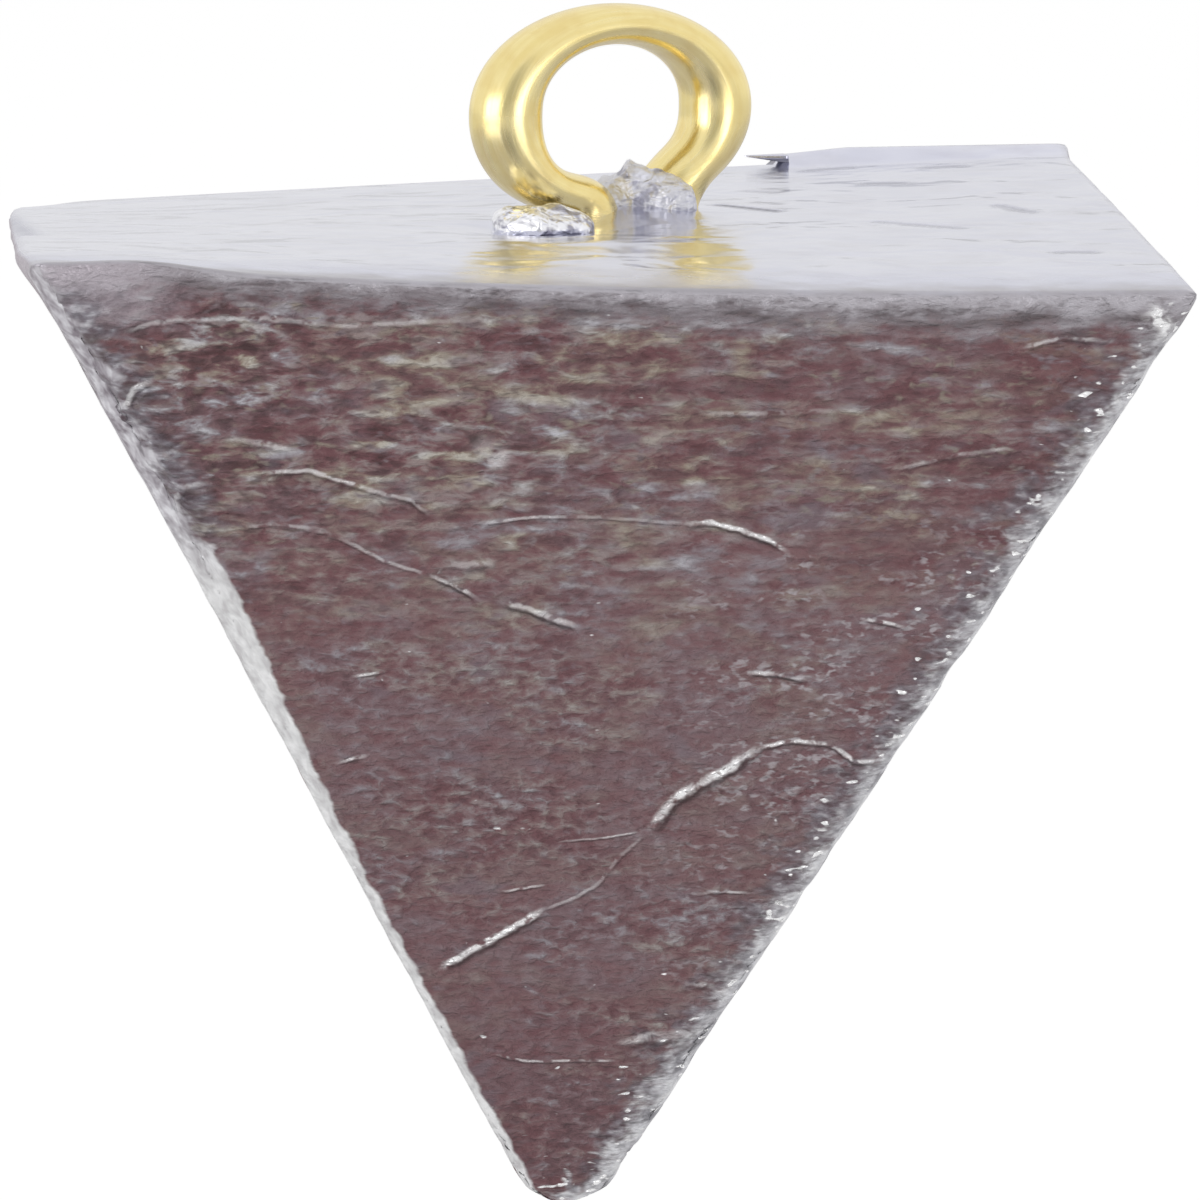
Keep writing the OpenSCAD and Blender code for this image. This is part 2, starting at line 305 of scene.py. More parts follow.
def camera():
    back = Vector((math.sin(VIEW_TURN) * math.cos(VIEW_TILT),
                   -math.cos(VIEW_TURN) * math.cos(VIEW_TILT),
                   math.sin(VIEW_TILT)))
    right = Vector((math.cos(VIEW_TURN), math.sin(VIEW_TURN), 0))
    up = back.cross(right)
    right, up = (right * math.cos(VIEW_ROLL) + up * math.sin(VIEW_ROLL),
                 up * math.cos(VIEW_ROLL) - right * math.sin(VIEW_ROLL))
    place = AXIS + back * VIEW_DISTANCE + right * VIEW_RIGHT - up * VIEW_DOWN
    bpy.ops.object.camera_add(location=place * MM)
    cam = bpy.context.object
    cam.name = "photo_camera"
    cam.rotation_euler = Matrix((right, up, back)).transposed().to_euler()
    cam.data.lens = LENS_MM
    cam.data.sensor_width = 36
    cam.data.clip_start = 0.01
    bpy.context.scene.camera = cam


def softbox(name, place, size, power):
    bpy.ops.object.light_add(type="AREA", location=Vector(place) * MM)
    lamp = bpy.context.object
    lamp.name = name
    lamp.data.shape = "RECTANGLE"
    lamp.data.size, lamp.data.size_y = size[0] * MM, size[1] * MM
    lamp.data.energy = power
    aim = AXIS * MM - lamp.location
    lamp.rotation_euler = aim.to_track_quat("-Z", "Y").to_euler()


def seen_share(f):
    """1 for what the camera sees, straight, mirrored or through glass; 0 for the light on things."""
    ray = f.add("LightPath").outputs
    return f.most(ray["Is Camera Ray"], ray["Is Glossy Ray"], ray["Is Transmission Ray"])


def pale_floor():
    """A pale floor that looks white where it is lit, and keeps the object's shadow."""
    bpy.ops.mesh.primitive_plane_add(size=6, location=(0, 0, -FLOOR_DROP * MM))
    floor = bpy.context.object
    floor.name = "studio_floor"
    material = new_material("pale_floor")
    f = Finish(material.node_tree)
    matt = f.add("BsdfDiffuse", {"Color": FLOOR_GREY}).outputs[0]
    mirrored = f.add("LightPath").outputs["Is Glossy Ray"]
    dim = f.plus(f.times(mirrored, FLOOR_DIM), 1.0)
    lift = f.add("Emission", {"Strength": f.times(seen_share(f), FLOOR_LIFT, dim)}).outputs[0]
    both = f.add("AddShader", {0: matt, 1: lift}).outputs[0]
    f.add("OutputMaterial", {"Surface": both})
    floor.data.materials.append(material)


def room_share(f, squash, toward, start, full, light):
    """1 all round, and `light` in the directions near `toward`."""
    place = f.add("TexCoord").outputs["Generated"]
    level = f.add("VectorMath", {0: place, 1: squash}, operation="MULTIPLY").outputs[0]
    unit = f.add("VectorMath", {0: level}, operation="NORMALIZE").outputs[0]
    near = f.add("VectorMath", {0: unit, 1: toward}, operation="DOT_PRODUCT").outputs["Value"]
    return f.ramp(near, start, full, 1.0, light)


def studio():
    pale_floor()
    world = bpy.data.worlds.new("studio")
    bpy.context.scene.world = world
    world.use_nodes = True
    f = Finish(world.node_tree)
    # For what metal mirrors, the room is darker behind the photographer and a little so behind the stage
    room = f.math("MINIMUM", room_share(f, *FRONT_ZONE), room_share(f, *BACK_ZONE))
    mirrored = f.blend(f.add("LightPath").outputs["Is Glossy Ray"], 1.0, room)
    light = f.add("Background", {"Strength": WORLD_LIGHT}).outputs[0]
    white = f.add("Background", {"Color": (1, 1, 1, 1), "Strength": mirrored}).outputs[0]
    seen = f.add("MixShader", {0: seen_share(f), 1: light, 2: white}).outputs[0]
    f.add("OutputWorld", {"Surface": seen})
    softbox("wide_left", *WIDE_LEFT)
    softbox("narrow_right", *NARROW_RIGHT)
    bpy.context.scene.view_settings.view_transform = "Standard"


# Mesh helpers

def pick(obj, chosen):
    """Selects the points that `chosen` says yes to, and what lies between them."""
    bpy.ops.mesh.select_mode(type="VERT")
    bpy.ops.mesh.select_all(action="DESELECT")
    shape = bmesh.from_edit_mesh(obj.data)
    for point in shape.verts:
        point.select = chosen(point.co)
    shape.select_flush(True)
    bmesh.update_edit_mesh(obj.data)


def points_of(obj):
    flat = np.empty(len(obj.data.vertices) * 3)
    obj.data.vertices.foreach_get("co", flat)
    return flat.reshape(-1, 3)


def set_points(obj, points):
    obj.data.vertices.foreach_set("co", np.ascontiguousarray(points).ravel())
    obj.data.update()


def remember(obj, name, values):
    """Keeps one number at each point, for the materials to read."""
    layer = obj.data.attributes.new(name, "FLOAT", "POINT")
    layer.data.foreach_set("value", np.asarray(values, np.float32))


def apply_modifier(obj, kind, **settings):
    bpy.context.view_layer.objects.active = obj
    modifier = obj.modifiers.new(kind.lower(), kind)
    for key, value in settings.items():
        setattr(modifier, key, value)
    bpy.ops.object.modifier_apply(modifier=modifier.name)


def shade_smooth(obj):
    for face in obj.data.polygons:
        face.use_smooth = True


def ripple(points, across, up, seed):
    """Smooth noise at each point, stretched sideways; from -1 to 1."""
    scaled = points * np.array((1 / across, 1 / across, 1 / up)) + seed
    return np.array([noise.noise(Vector(p)) for p in scaled])


def smooth(v):
    v = np.clip(v, 0, 1)
    return v * v * (3 - 2 * v)


def hump(x, y, reach):
    return np.exp(-2 * (x * x + y * y) / reach ** 2)


# Lead casting

def casting_blank():
    """Four flanks, a blunt tip and a rolled rim, in small even facets; in mm, from the body's axis."""
    bpy.ops.object.select_all(action="DESELECT")
    bpy.ops.mesh.primitive_cube_add(size=2)
    blank = bpy.context.object
    blank.name = "lead_casting"
    bpy.ops.object.mode_set(mode="EDIT")
    pick(blank, lambda co: co.z > 0)
    bpy.ops.transform.resize(value=(HALF_W, HALF_W, 1))
    bpy.ops.transform.translate(value=(0, 0, -1))
    pick(blank, lambda co: co.z < -0.5)
    width = TIP_R * math.cos(TAPER)
    depth = DOME_EDGE
    bpy.ops.transform.resize(value=(width, width, 1))
    bpy.ops.transform.translate(value=(0, 0, 1 - depth))
    for share in DOME_SHARES:
        angle = (math.pi / 2 - TAPER) * share
        next_width = TIP_R * math.sin(angle)
        next_depth = TIP_CENTRE + TIP_R * math.cos(angle)
        bpy.ops.mesh.extrude_region_move(
            TRANSFORM_OT_translate={"value": (0, 0, depth - next_depth)})
        bpy.ops.transform.resize(value=(next_width / width, next_width / width, 1))
        width, depth = next_width, next_depth
    pick(blank, lambda co: co.z > -0.01)
    bpy.ops.mesh.bevel(offset=RIM_CUT, segments=3, affect="EDGES")
    bpy.ops.object.mode_set(mode="OBJECT")
    apply_modifier(blank, "REMESH", mode="VOXEL", voxel_size=FACET)
    return blank


def lip_rise(x):
    """The back lip's height along the rim, as a share: a step, a climb to its crest, and a fall."""
    share = x / HALF_W
    climb = LIP_STEP + (1 - LIP_STEP) * (share - LIP_START) / (LIP_CREST - LIP_START)
    fall = 1 - (1 - LIP_END) * (share - LIP_CREST) / (1 - LIP_CREST)
    return np.where(x < LIP_START * HALF_W, 0, np.where(x < LIP_CREST * HALF_W, climb, fall))


def pour_z(x, y):
    """The poured top's height over its level, as in the part's source."""
    u, v = x / HALF_W, y / HALF_W
    front = -FRONT_DIP * (1 - u * u) * np.maximum(0, -v) ** 2
    lump = RIM_LUMP_H * hump(x - LUMP_AT * HALF_W, 0, LUMP_REACH * HALF_W)
    lump = lump * smooth((-v - LUMP_BAND) / (1 - LUMP_BAND))
    droop = -CORNER_DROOP * hump(x + HALF_W, y - HALF_W, DROOP_REACH * HALF_W)
    lip = LIP_H * lip_rise(x) * smooth((y - (HALF_W - RIM_R - LIP_W)) / LIP_W)
    feet = SWELL_H * hump(x - SWELL_AT[0], y - SWELL_AT[1], SWELL_R)
    hollow = -HOLLOW_H * hump(x - HOLLOW_AT[0], y - HOLLOW_AT[1], HOLLOW_R)
    return CORNER_LIFT * u * v + POUR_SLOPE * u + front + lump + droop + lip + feet + hollow


def half_at(z):
    return HALF_W * (1 + z / TAPER_H)


def land_width(z):
    return np.interp(-z, LAND_DEPTHS, LAND_WIDTHS)


def cut_arrises(p):
    """Flat lands front left and back right, soft round arrises front right and back left."""
    x, y, z = p.T
    w = np.where(z > -DOME_EDGE, half_at(z), np.maximum(abs(x), abs(y)))
    land = x * y > 0
    cut = np.minimum(land_width(z) / math.sqrt(2), TIP_LAND * w)
    over = np.where(land, np.maximum((abs(x) + abs(y) - (2 * w - cut)) / 2, 0), 0)
    r = np.minimum(ARRIS_R, w)
    dx, dy = abs(x) - (w - r), abs(y) - (w - r)
    reach = np.hypot(dx, dy)
    tight = ~land & (dx > 0) & (dy > 0) & (reach > r)
    ease = np.where(tight, r / np.maximum(reach, 1e-6), 1)
    x = np.sign(x) * np.where(tight, w - r + dx * ease, abs(x) - over)
    y = np.sign(y) * np.where(tight, w - r + dy * ease, abs(y) - over)
    return np.stack((x, y, z), -1)


def pour_top(p):
    """Slides each point along its own line from the faces' apex, so that the flanks stay flat."""
    apex = np.array((0, 0, -TAPER_H))
    safe = np.maximum(1 + p[:, 2] / TAPER_H, 0.05)
    rise = pour_z(np.clip(p[:, 0] / safe, -HALF_W, HALF_W), np.clip(p[:, 1] / safe, -HALF_W, HALF_W))
    return apex + (p - apex) * (1 + rise / TAPER_H)[:, None]


def bulge_side(p):
    """Swells the left-hand side where it meets the top."""
    x, y, z = p.T
    swell = SIDE_BULGE / HALF_W * np.clip((1 - abs(y) / HALF_W) / BULGE_RUN, 0, 1)
    swell = swell * np.clip((z + BULGE_DEPTH) / BULGE_RISE, 0, 1)
    return np.stack((np.where(x < 0, x * (1 + swell), x), y, z), -1)


def dents(p, relief, middle, spread):
    """Dents of one kind, from 0 to their depth."""
    depth, across, up, seed = relief
    return depth * smooth(middle + ripple(p, across, up, seed) * spread)


def swells(p, relief):
    """Waves of one kind, from 0 to twice their depth."""
    depth, across, up, seed = relief
    return depth * (1 + ripple(p, across, up, seed))


def roughen(p, top):
    """Shallow swells and chill ripples on the flanks, dents along the arrises; only ever inwards."""
    x, y, z = p.T
    side = abs(x) > abs(y)
    inward = np.stack((np.where(side, -np.sign(x), 0), np.where(side, 0, -np.sign(y)),
                       np.full(len(p), 0.3)), -1)
    gap = half_at(z) - np.minimum(abs(x), abs(y))
    soft = smooth(1 - gap / 1.3) * (x * y < 0)
    high_land = smooth(1 - gap / 1.6) * smooth((z + 9.5) / 2) * smooth((-z - 1.2) / 1.2) * (x < 0) * (y < 0)
    tip = smooth((-z - 24.5) / 2.5)
    depth = swells(p, SWELLS) + swells(p, CHILL_RIPPLES)
    depth = depth + soft * dents(p, ARRIS_DENTS, 0, 1.6)
    depth = depth + high_land * dents(p, LAND_SCALLOPS, 0.5, 1.3)
    depth = depth + tip * dents(p, TIP_DENTS, 0.5, 1.0)
    return p + inward * (depth * (1 - top))[:, None]


def top_share(p):
    """1 on the poured top, 0 on the flanks; taken before the top gets its relief."""
    inside = half_at(0) - RIM_R * 0.55 - np.maximum(abs(p[:, 0]), abs(p[:, 1]))
    return smooth((p[:, 2] + 0.16) / 0.14) * smooth(0.5 + inside / 0.3)


# Creases and a few pale spots on the front face, as places in mm from the body's axis and below the pour,
# then the half width in mm and the brightness along each one; each is painted as a highlight above and a
# shadow below
FRONT_CREASES = (
    ("low_fold", ((-4, 20.5), (-2.9, 19.8), (-1.2, 18.7)), 0.1, 1.0),
    ("low_fold_faint", ((-1.2, 18.7), (-0.3, 18.3), (0.3, 17.9), (0.8, 17.1), (1.5, 16.4)), 0.05, 0.32),
    ("low_fold_bright", ((1.6, 16.3), (2.2, 15.4), (2.9, 14.9), (3.7, 14.4), (4.4, 13.8)), 0.13, 1.0),
    ("low_fold_end", ((4.4, 13.8), (5.4, 13.55), (6.6, 13.7), (7.2, 14.2), (8, 14.2)), 0.06, 0.75),
    ("mid_fold", ((-10, 7.2), (-9.2, 7.1), (-8, 7.25), (-7.2, 7.6), (-6.1, 8.2), (-4.9, 8.6)), 0.05, 0.35),
    ("mid_fold_dot", ((-8.1, 7.25), (-7.7, 7.35)), 0.09, 1.0),
    ("mid_fold_bright", ((-4.9, 8.6), (-4.2, 8.9), (-3.5, 9.3)), 0.06, 0.9),
    ("mid_fold_low", ((-2.9, 9.4), (-2.1, 9.6), (-1.4, 9.9), (-0.7, 10.15)), 0.08, 1.0),
    ("arc", ((-9.5, 5.6), (-8.3, 5.55), (-7.4, 5.85), (-6.2, 6.25), (-5.5, 6.4), (-5, 6.8)), 0.06, 0.55),
    ("long_line", ((-3.6, 7.1), (-2.1, 6.9), (-0.4, 6.9), (2, 7.1)), 0.045, 0.4),
    ("long_line_end", ((2, 7.1), (2.7, 7.05), (3.6, 7.3), (4.4, 7.6), (4.9, 7.95)), 0.07, 0.85),
    ("short_a", ((4, 11.5), (4.9, 11.55), (5.7, 11.75)), 0.06, 0.8),
    ("thin_b", ((-0.9, 16.6), (0.3, 16.5), (1.4, 16.3)), 0.03, 0.5),
    ("low_b", ((-2.3, 23.2), (-1.5, 23.4), (1.1, 23.4)), 0.04, 0.5),
    ("streak", ((1.1, 22.9), (2, 22.7), (3.6, 22.5)), 0.14, 0.6),
    ("top_line_a", ((-13.4, 1.6), (-12.8, 1.35), (-11.6, 1.2), (-9.6, 1.2), (-7.6, 1.4), (-4.1, 1.25)),
     0.07, 0.3),
    ("top_line_b", ((2.3, 3.9), (4.1, 3.9), (6, 3.8)), 0.07, 0.35),
    ("right_a", ((7.8, 5.5), (9.3, 5.1), (10.8, 4.9)), 0.06, 0.4),
    ("right_b", ((10.8, 2), (11.9, 1.7), (13.1, 1.8)), 0.06, 0.45),
    ("right_c", ((7, 9.9), (7.7, 10), (8.4, 10.2)), 0.05, 0.7),
    ("dash_a", ((-6.9, 11.6), (-5.9, 11.45)), 0.04, 0.6),
    ("dash_b", ((-7.2, 14.2), (-7, 14.15), (-6.3, 13.95)), 0.05, 0.6),
    ("low_c", ((-2.5, 18.15), (-1.1, 17.9)), 0.035, 0.5),
    ("right_d", ((2.9, 18.25), (3.7, 18.15), (4.6, 18.2)), 0.04, 0.5),
    ("glint_d", ((3.1, 21), (3.8, 21.1)), 0.08, 0.8),
    ("corner_blob", ((14.05, 0.9), (14.5, 1.2), (14.9, 1.75)), 0.26, 1.0),
    ("pale_a", ((-3.9, 4.6), (-3.3, 5.1), (-2.9, 5.5)), 0.36, 0.5),
    ("pale_b", ((-0.35, 6.2), (0.1, 6.6)), 0.14, 0.6),
    ("pale_c", ((-4.5, 8.3), (-3.9, 8.35), (-3.1, 8.2)), 0.1, 0.5),
    ("olive_line", ((-10.6, 4.6), (-9.7, 4.75), (-8.6, 5.0)), 0.08, 0.42),
    ("arris_hook_a", ((-12.9, 4.2), (-13.3, 3.7), (-13.1, 3.2), (-12.5, 2.9)), 0.08, 0.6),
    ("arris_hook_b", ((-12.3, 5.0), (-12.1, 5.3)), 0.12, 0.8),
    ("arris_hook_c", ((-11.6, 6.9), (-11.9, 6.4), (-11.6, 6.0), (-10.9, 5.9)), 0.07, 0.5),
)
# The other three faces have creases of the same kind, which the photograph doesn't show
SIDE_CREASES = (
    ("side_fold", ((-6, 6.5), (-4, 7.4), (-1.5, 7.6), (1, 8.6)), 0.06, 0.8),
    ("side_arc", ((-1, 12.8), (0.8, 12), (3, 12.2), (4.4, 13.2)), 0.05, 0.6),
    ("side_line", ((-9, 3.4), (-3, 3.2), (2, 3.5), (5, 3.3)), 0.05, 0.4),
    ("side_low", ((-2, 20), (0, 19.6), (1.6, 18.6)), 0.06, 0.7),
    ("side_short", ((5, 6), (6.4, 6.4), (7.2, 6.2)), 0.05, 0.6),
)
# All half widths are drawn a little larger than they were measured
CREASE_WIDER = 1.12


def crease_reach(along, z, path, turn):
    """One crease's distance, signed distance and share of brightness at each point."""
    total = sum(math.dist(a, b) for a, b in zip(path, path[1:]))
    best = np.full(len(z), 9.0)
    side = np.full(len(z), 9.0)
    glow = np.zeros(len(z))
    done = 0
    for a, b in zip(path, path[1:]):
        ax, az, bx, bz = a[0] * turn, -a[1], b[0] * turn, -b[1]
        length = math.hypot(bx - ax, bz - az)
        dx, dz = (bx - ax) / length, (bz - az) / length
        along_it = np.clip((along - ax) * dx + (z - az) * dz, 0, length)
        far = np.hypot(along - ax - along_it * dx, z - az - along_it * dz)
        place = (done + along_it) / total
        ends = smooth(np.minimum(place, 1 - place) * total / 0.5 + 0.15)
        nearer = far < best
        best = np.where(nearer, far, best)
        side = np.where(nearer, far * np.sign((along - ax) * dz - (z - az) * dx), side)
        glow = np.where(nearer, ends * smooth(1.9 - far / 0.25), glow)
        done += length
    return best, side, glow


def crease_marks(p):
    """Signed distance to the nearest crease, and that crease's width and brightness, at each point."""
    x, y, z = p.T
    side = np.full(len(p), 1.0)
    best = np.full(len(p), 1.0)
    rival = np.full(len(p), 9.0)
    rival_side = np.full(len(p), 1.0)
    wide = np.full(len(p), 0.05)
    glow = np.zeros(len(p))
    front, back = (-y > abs(x)), (y > abs(x))
    left = ~front & ~back & (x < 0)
    right = ~front & ~back & ~left
    faces = ((front, x, FRONT_CREASES, 1), (back, -x, SIDE_CREASES, 1),
             (left, -y, SIDE_CREASES, -1), (right, y, SIDE_CREASES, 0.85))
    for face, along, creases, turn in faces:
        for _, path, half_width, brightness in creases:
            own, own_side, own_glow = crease_reach(along, z, path, turn)
            nearer = face & (own < best)
            beside = face & ~nearer & (own < rival)
            rival_side = np.where(nearer, side, np.where(beside, own_side, rival_side))
            rival = np.where(nearer, best, np.where(beside, own, rival))
            best = np.where(nearer, own, best)
            side = np.where(nearer, own_side, side)
            wide = np.where(nearer, half_width, wide)
            glow = np.where(nearer, brightness * own_glow, glow)
    # Between two creases that face each other, where the signed distance jumps, the light fades out
    between = np.maximum(smooth((rival - best) / 0.5 - 0.3), smooth(1.6 - best / 0.06))
    glow = glow * np.where(side * rival_side < 0, between, 1)
    return side, wide * CREASE_WIDER, glow


# Scratches and wrinkles on the poured top, in mm from the body's axis: ends, half width, darkness
TOP_MARKS = (
    ((4.6, 4.5), (6.0, 2.7), 0.22, 0.55),
    ((8.6, -0.5), (10.7, -2.2), 0.22, 0.22),
    ((12.5, 3.1), (13.2, 1.4), 0.22, 0.28),
    ((12.8, -7.6), (13.7, -7.6), 0.22, 0.25),
    ((9.5, 9.4), (10.4, 9.2), 0.3, 0.35),
    ((-15.8, 8.7), (-15.5, -2.2), 0.35, 0.2),
    ((8.2, 13.5), (9.4, 13.8), 0.28, 0.28),
    ((11.6, 12.9), (12.6, 13.0), 0.28, 0.28),
    ((5.8, 8.4), (6.5, 8.0), 0.25, 0.18),
)


def top_marks(p):
    """How dark each point of the poured top is from its scratches, from 0 to 1."""
    dark = np.zeros(len(p))
    for (ax, ay), (bx, by), half_width, depth in TOP_MARKS:
        length = math.hypot(bx - ax, by - ay)
        dx, dy = (bx - ax) / length, (by - ay) / length
        along = np.clip((p[:, 0] - ax) * dx + (p[:, 1] - ay) * dy, 0, length)
        far = np.hypot(p[:, 0] - ax - along * dx, p[:, 1] - ay - along * dy)
        dark = np.maximum(dark, depth * np.exp(-(far / half_width) ** 2))
    return dark


def bare_gap(p, top):
    """How far each point lies outside the metal that is worn bare along arrises, rim and tip, in mm."""
    x, y, z = p.T
    gap = half_at(z) - np.minimum(abs(x), abs(y))
    on_side = abs(x) > abs(y)
    soft = gap - np.interp(-z, BARE_DEPTHS, BARE_WIDTHS) - np.where(on_side, SIDE_BARE, 0)
    land = gap - land_width(z) / math.sqrt(2) - np.where(on_side, SIDE_LAND, 0)
    rim = -z + pour_z(x, y) - 0.3
    tip = (TIP_BARE - TIP_BARE_LEAN * smooth(0.45 + x / 3.4) + z) * 0.9
    inside = np.minimum(abs(x), abs(y)) * np.sign(x * y) / 0.9
    return (FAR - (FAR - soft) * smooth(-inside), FAR - (FAR - land) * smooth(inside),
            np.where(top > 0.5, -1, np.minimum(rim, FAR)), np.minimum(tip, FAR))


MARKS = ("top", "arris_gap", "land_gap", "rim_gap", "tip_gap", "crease_side", "crease_wide",
         "crease_glow", "scratch_and_shadow", "edge_gap")


def lip_flake():
    """A sliver of lead that curls off the start of the back lip."""
    bpy.ops.object.select_all(action="DESELECT")
    bpy.ops.mesh.primitive_cube_add(size=1)
    flake = bpy.context.object
    bpy.ops.object.mode_set(mode="EDIT")
    bpy.ops.mesh.select_all(action="SELECT")
    bpy.ops.transform.resize(value=FLAKE)
    bpy.ops.mesh.subdivide(number_cuts=3)
    bpy.ops.object.mode_set(mode="OBJECT")
    p = points_of(flake)
    share = p[:, 0] / FLAKE[0] + 0.5
    p[:, 1:] *= (0.15 + 0.85 * share)[:, None]
    p[:, 2] += 0.06 * (1 - share)
    level = float(pour_z(np.array([FLAKE_LEVEL_AT[0]]), np.array([FLAKE_LEVEL_AT[1]]))[0])
    set_points(flake, (p + np.array((*FLAKE_AT, level - FLAKE_SINK)) + np.array(AXIS)) * MM)
    apply_modifier(flake, "SUBSURF", levels=2, render_levels=2)
    height = points_of(flake)[:, 2] / MM - AXIS.z - level
    # The sliver's underside is darkened through the same mark as the top's scratches: a painted shadow
    # under the sliver
    marks = {"top": 1.0, "scratch_and_shadow": 0.45 * smooth(-(height + 0.05) / 0.08)}
    for name in MARKS:
        values = marks.get(name, 4.0 if name.endswith("gap") else 0.0)
        remember(flake, name, np.zeros(len(flake.data.vertices)) + values)
    return flake


def lead_casting():
    piece = casting_blank()
    p = points_of(piece)
    top = top_share(p)
    p = bulge_side(pour_top(cut_arrises(p)))
    gaps = bare_gap(p, top)
    p = roughen(p, top)
    side, wide, glow = crease_marks(p)
    front = p[:, 1] < 0
    p[:, 1] += np.where(front, 1, -1) * CREASE_STEP * glow * np.tanh(side / 0.2)
    set_points(piece, (p + np.array(AXIS)) * MM)
    marks = (top, *gaps, side, wide, glow, top_marks(p) * top, HALF_W + p[:, 1])
    for name, values in zip(MARKS, marks):
        remember(piece, name, values)
    flake = lip_flake()
    bpy.ops.object.select_all(action="DESELECT")
    flake.select_set(True)
    piece.select_set(True)
    bpy.context.view_layer.objects.active = piece
    bpy.ops.object.join()
    shade_smooth(piece)
    return piece


# Brass eye and cold laps

def copy_of(node, name):
    """A merged copy of a solid of the frame, as a piece of its own."""
    bpy.ops.object.select_all(action="DESELECT")
    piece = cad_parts[node].copy()
    piece.data = piece.data.copy()
    piece.name = name
    piece.parent = None
    for key in list(piece.keys()):
        if key.startswith("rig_"):
            del piece[key]
    bpy.context.scene.collection.objects.link(piece)
    piece.select_set(True)
    bpy.context.view_layer.objects.active = piece
    bpy.ops.object.mode_set(mode="EDIT")
    bpy.ops.mesh.select_all(action="SELECT")
    bpy.ops.mesh.remove_doubles(threshold=1e-6)
    bpy.ops.mesh.tris_convert_to_quads(face_threshold=math.radians(60), shape_threshold=math.radians(60))
    bpy.ops.object.mode_set(mode="OBJECT")
    return piece


def brass_loop():
    piece = copy_of("brass_eye", "brass_loop")
    apply_modifier(piece, "SUBSURF", levels=2, render_levels=2)
    shade_smooth(piece)
    return piece


def cold_lap(name, middle, size, shares, turn, root, seed, crumple):
    """A splash of lead that froze on the top: a ball drawn out to its sections, then crumpled."""
    bpy.ops.object.select_all(action="DESELECT")
    bpy.ops.mesh.primitive_uv_sphere_add(segments=72, ring_count=56, radius=1)
    piece = bpy.context.object
    piece.name = name
    bpy.ops.object.mode_set(mode="EDIT")
    bpy.ops.mesh.select_all(action="SELECT")
    bpy.ops.transform.rotate(value=math.pi / 2, orient_axis="Y", center_override=(0, 0, 0))
    bpy.ops.object.mode_set(mode="OBJECT")
    ball = points_of(piece)
    table = np.array(shares)
    along = (ball[:, 0] + 1) / 2
    high, thick, lean = (np.interp(along, table[:, 0], table[:, column]) for column in (1, 2, 3))
    ring = np.hypot(ball[:, 1], ball[:, 2])
    y = ball[:, 1] / np.maximum(ring, 1e-6)
    z = ball[:, 2] / np.maximum(ring, 1e-6)
    open_end = np.minimum(1, ring / 0.3)
    above = np.maximum(z, 0) ** 0.8 * high * size[2]
    p = np.stack(((along - 0.5) * size[0],
                  (y * thick / 2 * open_end + lean * np.maximum(z, 0)) * size[1],
                  np.where(z > 0, above * open_end, z * root)), -1)
    rough = ripple(p, 0.75, 0.55, seed) + 0.3 * ripple(p, 0.34, 0.3, seed + 5)
    shrink = 1 - crumple * smooth(0.5 + rough)
    p[:, 1] *= shrink
    p[:, 2] = np.where(z > 0, p[:, 2] * shrink, p[:, 2])
    c, s = math.cos(math.radians(turn)), math.sin(math.radians(turn))
    p = np.stack((p[:, 0] * c - p[:, 1] * s, p[:, 0] * s + p[:, 1] * c, p[:, 2]), -1)
    set_points(piece, (p + np.array((*middle, AXIS.z))) * MM)
    shade_smooth(piece)
    return piece


# Colours, as seen in a picture

def rgb(red, green, blue):
    """A colour from 0 to 255, as the shader's linear colour."""
    return tuple((v / 255 / 12.92 if v < 11 else ((v / 255 + 0.055) / 1.055) ** 2.4)
                 for v in (red, green, blue)) + (1,)


def scale(*stops):
    """A scale of shades, from (place, red, green, blue) stops."""
    return tuple((place, rgb(*colour)) for place, *colour in stops)


# The bloom on the flanks, from its hollows to its worn high spots
WARM_BLOOM = scale((0.24, 70, 46, 47), (0.37, 97, 67, 69), (0.45, 110, 79, 82), (0.53, 122, 91, 92),
                   (0.6, 139, 114, 109), (0.68, 162, 147, 134), (0.8, 200, 193, 182))
COOL_BLOOM = scale((0.24, 68, 47, 52), (0.37, 93, 68, 73), (0.45, 108, 81, 86), (0.53, 121, 91, 96),
                   (0.6, 137, 114, 119), (0.68, 158, 149, 156), (0.8, 206, 205, 212))
RED_BLOOM = scale((0.24, 68, 42, 44), (0.37, 95, 59, 63), (0.45, 108, 69, 74), (0.53, 120, 80, 85),
                  (0.6, 132, 98, 101), (0.7, 152, 132, 132))
FLECK_GREY = rgb(142, 128, 135)
FLECK_BEIGE = rgb(154, 141, 130)
PIT_BROWN = rgb(80, 57, 60)
# Pale flecks right of the middle, painted as a sheen
PALE_SHEEN_FLECK = rgb(190, 182, 187)
SHEEN_BLUE = rgb(136, 130, 140)
CREASE_SHADOW = rgb(66, 46, 50)
GLINT_WHITE = rgb(252, 252, 253)
# The edges, from their hollows to their high spots; the bare metal of the arrises and the tip is painted
# near white, as a painted highlight where the edges catch the light
FRINGE_SHADES = scale((0.3, 80, 71, 79), (0.42, 104, 97, 105), (0.52, 122, 117, 126),
                      (0.64, 150, 148, 157), (0.78, 208, 208, 215))
EDGE_SHADES_WITH_HIGHLIGHT = scale((0.34, 158, 156, 162), (0.44, 204, 203, 208), (0.56, 232, 232, 236),
                    (0.7, 246, 246, 248))
CORNER_SHADES = scale((0.35, 158, 147, 155), (0.5, 190, 181, 190), (0.65, 212, 208, 215))
RIM_SHADES = scale((0.34, 106, 97, 101), (0.45, 131, 123, 128), (0.56, 152, 145, 151),
                   (0.7, 182, 178, 184))
LAND_SHADES = scale((0.34, 212, 210, 212), (0.46, 228, 228, 229), (0.54, 237, 237, 238),
                    (0.66, 250, 250, 251))
HIGH_LAND_SHADES = scale((0.34, 146, 138, 146), (0.46, 182, 177, 184), (0.56, 206, 203, 209),
                         (0.7, 236, 235, 240))
RIM_EDGE = rgb(194, 190, 197)
RIM_CORNER = rgb(190, 182, 190)
